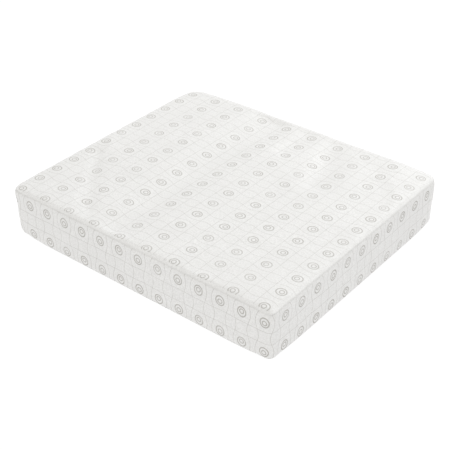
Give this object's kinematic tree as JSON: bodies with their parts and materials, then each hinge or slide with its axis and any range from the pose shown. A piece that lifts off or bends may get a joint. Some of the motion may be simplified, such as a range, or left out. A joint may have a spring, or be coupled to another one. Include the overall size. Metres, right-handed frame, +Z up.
{
  "type": "pressure relief pad",
  "caption": "Boxed foam pressure relief pad in a sewn printed cover, with a continuous border strip, a rear zip, fibre wadding and a layered foam core.",
  "frame": {"origin": "middle of the flat base, on the surface that the pad lies on", "axes": "+X along the width, +Y from the front side to the rear side with the zip, +Z up through the pad's thickness"},
  "size_m": [0.635, 0.5634, 0.104],
  "materials": {
    "cover_fabric": "matte",
    "wadding_fibre": "matte",
    "foam_firm": "matte",
    "foam_cells": "matte",
    "foam_visco": "matte",
    "thread": "satin",
    "zip_tape": "matte",
    "zip_plastic": "satin",
    "zip_metal": "satin"
  },
  "bodies": {
    "pad": {"cover_top_panel": "cover_fabric", "cover_base_panel": "cover_fabric", "cover_border_strip": "cover_fabric", "zip_border_upper": "cover_fabric", "zip_border_lower": "cover_fabric", "zip_end_tab_left": "cover_fabric", "zip_end_tab_right": "cover_fabric", "top_seam_thread": "thread", "base_seam_thread": "thread", "zip_panel_end_threads": "thread", "zip_stitch_upper": "thread", "zip_stitch_lower": "thread", "wadding_top": "wadding_fibre", "wadding_base": "wadding_fibre", "wadding_side_wrap": "wadding_fibre", "foam_base_layer": "foam_firm", "foam_bolster_front": "foam_firm", "foam_bolster_rear": "foam_firm", "foam_bolster_left": "foam_firm", "foam_bolster_right": "foam_firm", "castellated_foam_layer": "foam_cells", "visco_foam_layer": "foam_visco", "zip_tape_upper": "zip_tape", "zip_tape_lower": "zip_tape", "zip_teeth_upper": "zip_plastic", "zip_teeth_lower": "zip_plastic", "zip_top_stops": "zip_plastic", "zip_bottom_stop": "zip_plastic"},
    "zip_slider": {"zip_slider_body": "zip_metal"},
    "zip_pull": {"zip_pull_tab": "zip_metal"}
  },
  "joints": [
    {"name": "zip_slide", "type": "slide", "parent": "pad", "child": "zip_slider", "axis": [1, 0, 0], "range_m": [0, 0.478]},
    {"name": "pull_swing", "type": "hinge", "parent": "zip_slider", "child": "zip_pull", "pos_m": [-0.2392, 0.2817, 0.052], "axis": [0, 0, 1], "range_deg": [0, 180]}
  ]
}
